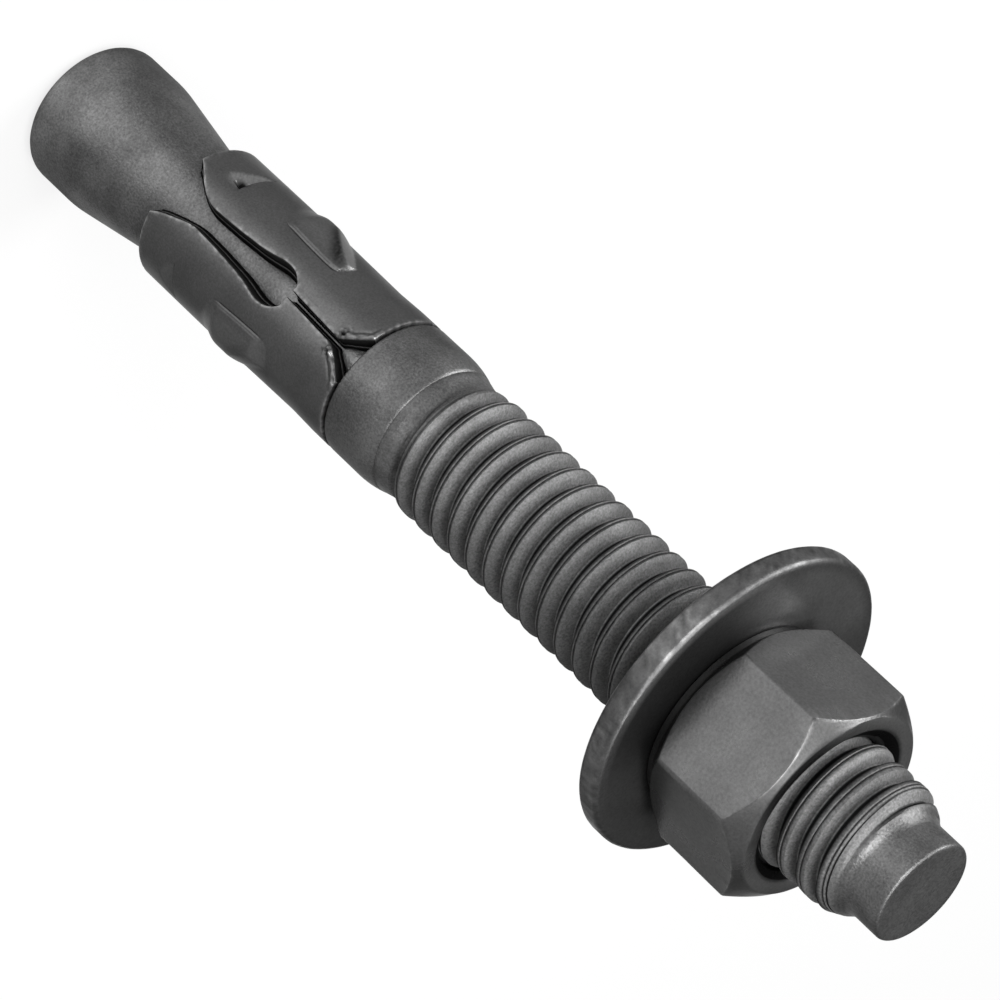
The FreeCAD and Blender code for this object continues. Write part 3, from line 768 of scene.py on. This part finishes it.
def make_nut():
    """The hexagon with its chamfers, bearing face, countersinks and thread."""
    shell = Shell()
    # The columns crowd towards the six corners, so that the edges come out crisp.
    column = np.arange(NUT_COLUMNS)
    turns = (column % 30 + 15) % 30 - 15
    azimuths = np.round(column / 30 + 1e-9) * 60.0 + np.sign(turns) * 30 * np.abs(turns / 15) ** 1.9
    azimuths = math.radians(NUT_TURNED) + np.radians(azimuths)
    hexagon = nut_hexagon(azimuths)
    slope_low = math.tan(math.radians(38))
    slope_high = math.tan(math.radians(42))
    low = 0.45 + (hexagon - NUT_FACE) * slope_low
    high = NUT_HEIGHT - (hexagon - NUT_TOP_FACE) * slope_high
    # Rings of (radius, height): bearing face, lower chamfer, flats, upper chamfer and top face.
    rings = [
        (SINK_BELOW, 0.0), (5.6, 0.0), (NUT_FACE - 0.08, 0.0), (NUT_FACE - 0.02, 0.03),
        (NUT_FACE, 0.09), (NUT_FACE, 0.36), (NUT_FACE + 0.03, 0.43)]
    for share in (0.25, 0.5, 0.75, 0.94):
        radius = NUT_FACE + (hexagon - NUT_FACE) * share
        rings.append((radius, 0.45 + (radius - NUT_FACE) * slope_low))
    rings += [(hexagon - 0.01, low + 0.03), (hexagon, low + 0.1)]
    for share in (0.2, 0.4, 0.6, 0.8):
        rings.append((hexagon, low + 0.1 + (high - low - 0.2) * share))
    rings += [(hexagon, high - 0.1), (hexagon - 0.015, high - 0.02)]
    for share in (0.05, 0.25, 0.5, 0.75):
        radius = hexagon - (hexagon - NUT_TOP_FACE) * share
        rings.append((radius, NUT_HEIGHT - (radius - NUT_TOP_FACE) * slope_high))
    rings += [
        (NUT_TOP_FACE + 0.06, NUT_HEIGHT - 0.035), (NUT_TOP_FACE - 0.02, NUT_HEIGHT),
        (5.75, NUT_HEIGHT), (5.45, NUT_HEIGHT), (5.38, NUT_HEIGHT - 0.03)]
    radius = np.array([ring_radius + np.zeros(NUT_COLUMNS) for ring_radius, ring_height in rings])
    height = np.array([ring_height + np.zeros(NUT_COLUMNS) for ring_radius, ring_height in rings])
    height = height + NUT_BASE
    around = azimuths[None, :]
    wave = grain_round(radius, around, height, 0.5, 21.0)
    radius = radius + 0.012 * wave * (radius > 6.3)
    # Painted shade on the front of the top face and of its chamfer, painted light on the rest of the top
    # face, and painted highlights in spots along the upper edges.
    face = ease((height - NUT_BASE - NUT_HEIGHT + 0.06) / 0.05)
    front = azimuth_patch(around, -88, 44)
    grime = face * (0.97 * front - 0.45 * (1 - front))
    mottle = grain_round(radius, around, height, 3.0, 27.0)
    above = height - NUT_BASE - high
    edges = np.exp(-((radius - hexagon + 0.02) / 0.02) ** 2) * (above > -0.12)
    chamfer = ease(above / 0.1) * ease((radius - NUT_TOP_FACE) / 0.1)
    grime = grime + 0.45 * chamfer * front - edges * np.clip(0.15 + 0.6 * mottle, 0.0, 1.0)
    grid = shell.add(radius, around, height, grime)
    shell.quads(grid, closed=True)
    offsets = [0.0, 0.08, 0.16, 0.24, 0.33, 0.41, 0.5, 0.59, 0.67, 0.76, 0.84, 0.92, 1.0]
    lower, upper = helix_band(
        shell, azimuths, NUT_BASE + 0.1, 4, offsets, nut_thread, nut_thread_shading, flip=True)
    shell.quads(np.stack([grid[0], lower]), closed=True, flip=True)
    shell.quads(np.stack([upper, grid[-1]]), closed=True, flip=True)
    return shell.piece("chamfered_nut", "nut", "hex_nut", "nut_steel", sharp=32.0)


stud = make_stud()
clip = make_clip()
washer = make_washer()
nut = make_nut()


def make_camera():
    """The photograph's camera."""
    tilt, turn = (math.radians(angle) for angle in PHOTO_AXIS)
    axis = Vector((math.sin(tilt) * math.cos(turn), math.sin(tilt) * math.sin(turn), math.cos(tilt)))
    spot = [(at - PHOTO_SIZE / 2) / PHOTO_FOCAL * PHOTO_DEPTH for at in PHOTO_TIP]
    origin = Vector((*spot, PHOTO_DEPTH)) + axis * STUD_TOP
    side = axis.cross(Vector((0.0, 0.0, 1.0))).normalized()
    basis = Matrix((side, -axis.cross(side), -axis))
    right = basis @ Vector((1.0, 0.0, 0.0))
    up = basis @ Vector((0.0, -1.0, 0.0))
    back = basis @ Vector((0.0, 0.0, -1.0))
    data = bpy.data.cameras.new("photo_camera")
    data.sensor_width = SENSOR
    data.lens = PHOTO_FOCAL / PHOTO_SIZE * SENSOR
    data.clip_start = 0.01
    data.clip_end = 10.0
    camera = bpy.data.objects.new("photo_camera", data)
    aim = Matrix((right, up, back)).transposed().to_4x4()
    camera.matrix_world = Matrix.Translation(basis @ (-origin) * MM) @ aim
    bpy.context.scene.collection.objects.link(camera)
    bpy.context.scene.camera = camera


class Wiring:
    """Short ways to place and link the usual nodes of one node tree."""

    def __init__(self, tree):
        self.nodes = tree.nodes
        self.links = tree.links

    def feed(self, socket, value):
        """Link a socket to another node's output, or set it to a number or a colour."""
        if isinstance(value, bpy.types.NodeSocket):
            self.links.new(value, socket)
        else:
            socket.default_value = value

    def place(self, kind, inputs=None, **settings):
        """A new node with its settings, and with its inputs fed by name or by number."""
        node = self.nodes.new(kind)
        for name, value in settings.items():
            setattr(node, name, value)
        for name, value in (inputs or {}).items():
            self.feed(node.inputs[name], value)
        return node

    def maths(self, kind, *values):
        """Result of a Math node on one, two or three numbers."""
        node = self.place("ShaderNodeMath", dict(enumerate(values)), operation=kind)
        return node.outputs[0]

    def ranged(self, value, low, high, kind="SMOOTHSTEP"):
        """A value spread from 0 at the low end to 1 at the high end."""
        inputs = {"Value": value, "From Min": low, "From Max": high}
        return self.place("ShaderNodeMapRange", inputs, interpolation_type=kind).outputs["Result"]

    def mixed(self, kind, share, first, second):
        """A mix of two numbers or of two colours."""
        start, result = (2, 0) if kind == "FLOAT" else (6, 2)
        inputs = {0: share, start: first, start + 1: second}
        return self.place("ShaderNodeMix", inputs, data_type=kind).outputs[result]


def new_group(name, inputs, outputs):
    """An empty group with named sockets: each a label, a kind and, where it matters, a value."""
    group = bpy.data.node_groups.new(name, "ShaderNodeTree")
    for way, sockets in (("INPUT", inputs), ("OUTPUT", outputs)):
        for label, kind, *value in sockets:
            socket = group.interface.new_socket(label, in_out=way, socket_type="NodeSocket" + kind)
            if value:
                socket.default_value = value[0]
    wires = Wiring(group)
    given = wires.place("NodeGroupInput").outputs
    return group, wires, given, wires.place("NodeGroupOutput").inputs


def new_material(name):
    """An empty material, its wiring and the socket that its surface goes into."""
    material = bpy.data.materials.new(name)
    material.use_nodes = True
    material.node_tree.nodes.clear()
    wires = Wiring(material.node_tree)
    return material, wires, wires.place("ShaderNodeOutputMaterial").inputs["Surface"]


def grey(shade):
    """A grey as a colour."""
    return (shade, shade, shade, 1.0)


def steel_group():
    """Blotched dark steel surface, with the painted light and shade of the shading mark: its colour, its
    roughness and its grain.
    """
    group, wires, given, result = new_group(
        "Dark steel finish",
        [("Dark Colour", "Color"), ("Light Colour", "Color"), ("Blotch Scale", "Float", 400.0),
         ("Grain Scale", "Float", 4000.0), ("Dull", "Float", 0.42), ("Bright", "Float", 0.3),
         ("Grime", "Float"), ("Speckle", "Float"), ("Matt", "Float")],
        [("Base Color", "Color"), ("Roughness", "Float"), ("Height", "Float")])
    where = wires.place("ShaderNodeTexCoord").outputs["Object"]
    blotch = wires.place("ShaderNodeTexNoise", {
        "Vector": where, "Scale": given["Blotch Scale"], "Detail": 4.0}).outputs["Fac"]
    grainy = wires.place("ShaderNodeTexNoise", {
        "Vector": where, "Scale": given["Grain Scale"], "Detail": 3.0, "Roughness": 0.6}).outputs["Fac"]
    spread = wires.ranged(blotch, 0.35, 0.65, "LINEAR")
    colour = wires.mixed("RGBA", spread, given["Dark Colour"], given["Light Colour"])
    rough = wires.mixed("FLOAT", spread, given["Dull"], given["Bright"])
    # Painted light: below 0 the shading lifts the colour towards grey, for painted highlights and lighter
    # edges. Painted shade: above 0 it turns the colour nearly black and dull, as in crevices, seams and
    # hollows.
    lifted = wires.ranged(given["Grime"], 0.0, -1.0, "LINEAR")
    painted_shade = wires.ranged(given["Grime"], 0.0, 1.0, "LINEAR")
    colour = wires.mixed("RGBA", lifted, colour, grey(0.5))
    colour = wires.mixed("RGBA", painted_shade, colour, grey(0.012))
    # Fine speckle, as much darker as lighter.
    gain = wires.maths("MULTIPLY_ADD", wires.maths("SUBTRACT", grainy, 0.5), given["Speckle"], 1.0)
    speckled = wires.place("ShaderNodeVectorMath", {0: colour, "Scale": gain}, operation="SCALE")
    wires.feed(result["Base Color"], speckled.outputs["Vector"])
    # The rolled thread, and the places of painted shade, are duller than the rest.
    rough = wires.mixed("FLOAT", given["Matt"], rough, 0.62)
    wires.feed(result["Roughness"], wires.mixed("FLOAT", painted_shade, rough, 0.6))
    wires.feed(result["Height"], grainy)
    return group


def steel(name, finish_and_shade, dark, light, blotch, fine, dull, bright, depth, speckle, metal):
    """A dark steel with its own colours, grain, gloss and speckle."""
    material, wires, surface = new_material(name)
    made = wires.place("ShaderNodeGroup", node_tree=finish_and_shade)
    for label, value in (
            ("Dark Colour", grey(dark)), ("Light Colour", grey(light)), ("Blotch Scale", blotch),
            ("Grain Scale", fine), ("Dull", dull), ("Bright", bright), ("Speckle", speckle)):
        made.inputs[label].default_value = value
    for mark in ("grime", "matt"):
        marks = wires.place("ShaderNodeAttribute", attribute_name=mark)
        wires.feed(made.inputs[mark.capitalize()], marks.outputs["Fac"])
    bump = wires.place("ShaderNodeBump", {
        "Strength": 1.0, "Distance": depth * MM, "Height": made.outputs["Height"]})
    shader = wires.place("ShaderNodeBsdfPrincipled", {
        "Base Color": made.outputs["Base Color"], "Roughness": made.outputs["Roughness"],
        "Metallic": metal, "Specular Tint": grey(0.35), "Normal": bump.outputs["Normal"]})
    wires.feed(surface, shader.outputs["BSDF"])
    return material


def cover(piece, material):
    """Give a piece its one material."""
    piece.data.materials.clear()
    piece.data.materials.append(material)


def floor_paint_group():
    """Painted shade of the floor: white behind the anchor and in a painted fan of light in front of it,
    grey to its two sides.
    """
    group, wires, given, result = new_group(
        "Floor paint",
        [("White", "Float", 1.0), ("Right Grey", "Float", 0.2), ("Left Grey", "Float", 0.25)],
        [("Shade", "Float")])
    maths = wires.maths
    where = wires.place("ShaderNodeTexCoord").outputs["Object"]
    split = wires.place("ShaderNodeSeparateXYZ", {0: where}).outputs
    x, y = split["X"], split["Y"]
    # The corner that opens behind the anchor.
    right = maths("MULTIPLY_ADD", x, -1.532, maths("ADD", y, 0.0154))
    left = maths("MULTIPLY_ADD", x, 1.704, maths("ADD", y, 0.0156))
    behind = wires.ranged(maths("MINIMUM", right, left), -0.006, -0.001)
    # The painted fan of light in front of it.
    turn = maths("ARCTAN2", x, maths("MULTIPLY", y, -1.0))
    fan_left = wires.ranged(turn, math.radians(-46), math.radians(-24))
    fan_right = wires.ranged(turn, math.radians(42), math.radians(8))
    white = maths("MAXIMUM", behind, maths("MULTIPLY", fan_left, fan_right))
    # The painted grey shade to its two sides, which grows lighter far away.
    away = maths("SQRT", maths("ADD", maths("MULTIPLY", x, x), maths("MULTIPLY", y, y)))
    far = maths("MULTIPLY", wires.ranged(away, 0.06, 0.12), 0.22)
    side = wires.ranged(x, -0.02, 0.02)
    sides = wires.mixed("FLOAT", side, given["Left Grey"], given["Right Grey"])
    shade = wires.mixed("FLOAT", white, maths("ADD", sides, far), given["White"])
    wires.feed(result["Shade"], shade)
    return group


def make_floor():
    """White floor, painted grey outside the picture to the anchor's two sides and with a painted fan of
    light in front, that keeps the anchor's shadow.
    """
    mesh = bpy.data.meshes.new("floor")
    mesh.from_pydata([(-2, -2, 0), (2, -2, 0), (2, 2, 0), (-2, 2, 0)], [], [[0, 1, 2, 3]])
    floor = bpy.data.objects.new("floor", mesh)
    bpy.context.scene.collection.objects.link(floor)
    material, wires, surface = new_material("white_floor")
    paint = wires.place("ShaderNodeGroup", node_tree=floor_paint_group()).outputs["Shade"]
    shader = wires.place("ShaderNodeBsdfPrincipled", {
        "Base Color": paint, "Roughness": 0.9, "Specular IOR Level": 0.0})
    # What the camera sees of the floor, itself or in the steel, glows for the most part by itself.
    glow = wires.place("ShaderNodeEmission", {"Color": paint, "Strength": 1.0})
    path = wires.place("ShaderNodeLightPath").outputs
    seen = wires.maths("MAXIMUM", path["Is Camera Ray"], path["Is Glossy Ray"])
    seen = wires.maths("MAXIMUM", seen, path["Is Transmission Ray"])
    mix = wires.place("ShaderNodeMixShader", {
        0: wires.maths("MULTIPLY", seen, 0.8), 1: shader.outputs["BSDF"], 2: glow.outputs["Emission"]})
    wires.feed(surface, mix.outputs["Shader"])
    cover(floor, material)


def make_room():
    """A grey room that darkens towards +Y, with a white glow towards -Y."""
    world = bpy.data.worlds.new("studio")
    bpy.context.scene.world = world
    world.use_nodes = True
    wires = Wiring(world.node_tree)
    where = wires.place("ShaderNodeTexCoord").outputs["Generated"]
    along = wires.place("ShaderNodeSeparateXYZ", {0: where}).outputs["Y"]
    shade = wires.mixed("RGBA", wires.ranged(along, 0.15, 0.75), grey(0.30), grey(0.02))
    shade = wires.mixed("RGBA", wires.ranged(along, -0.78, -0.97), shade, grey(1.0))
    wires.feed(wires.nodes["Background"].inputs["Color"], shade)


def area_lamp(name, place, aim, wide, tall, power):
    """A soft lamp that shines from one place at another, both in millimetres."""
    data = bpy.data.lights.new(name, "AREA")
    data.shape = "RECTANGLE"
    data.size = wide * MM
    data.size_y = tall * MM
    data.energy = power
    lamp = bpy.data.objects.new(name, data)
    lamp.location = Vector(place) * MM
    way = Vector(aim) - Vector(place)
    lamp.rotation_euler = way.to_track_quat("-Z", "Y").to_euler()
    lamp.visible_camera = False
    bpy.context.scene.collection.objects.link(lamp)


# Each steel: its dark and its light grey, the scales of its blotches and of its grain, roughness where
# it is dull and where it is bright, depth of the grain in millimetres, speckle, and share of metal.
finish_and_shade = steel_group()
for piece, name, *looks in (
        (stud, "stud_steel", 0.165, 0.265, 350, 7000, 0.42, 0.34, 0.03, 1.6, 0.85),
        (clip, "clip_steel", 0.18, 0.22, 300, 7000, 0.38, 0.30, 0.012, 0.8, 0.85),
        (washer, "washer_steel", 0.18, 0.22, 300, 6000, 0.36, 0.28, 0.012, 0.8, 0.88),
        (nut, "nut_steel", 0.19, 0.22, 300, 6000, 0.34, 0.26, 0.012, 0.8, 0.88)):
    cover(piece, steel(name, finish_and_shade, *looks))
make_floor()
for name, place, wide, tall, power in (
        ("top_light", (0, 10, 420), 300, 300, 0.7),
        ("front_light", (-40, -300, 480), 300, 300, 1.4),
        ("left_light", (-420, 60, 300), 240, 400, 1.4)):
    area_lamp(name, place, (0, 0, 40), wide, tall, power)
make_room()
make_camera()
bpy.context.scene.view_settings.view_transform = "Standard"
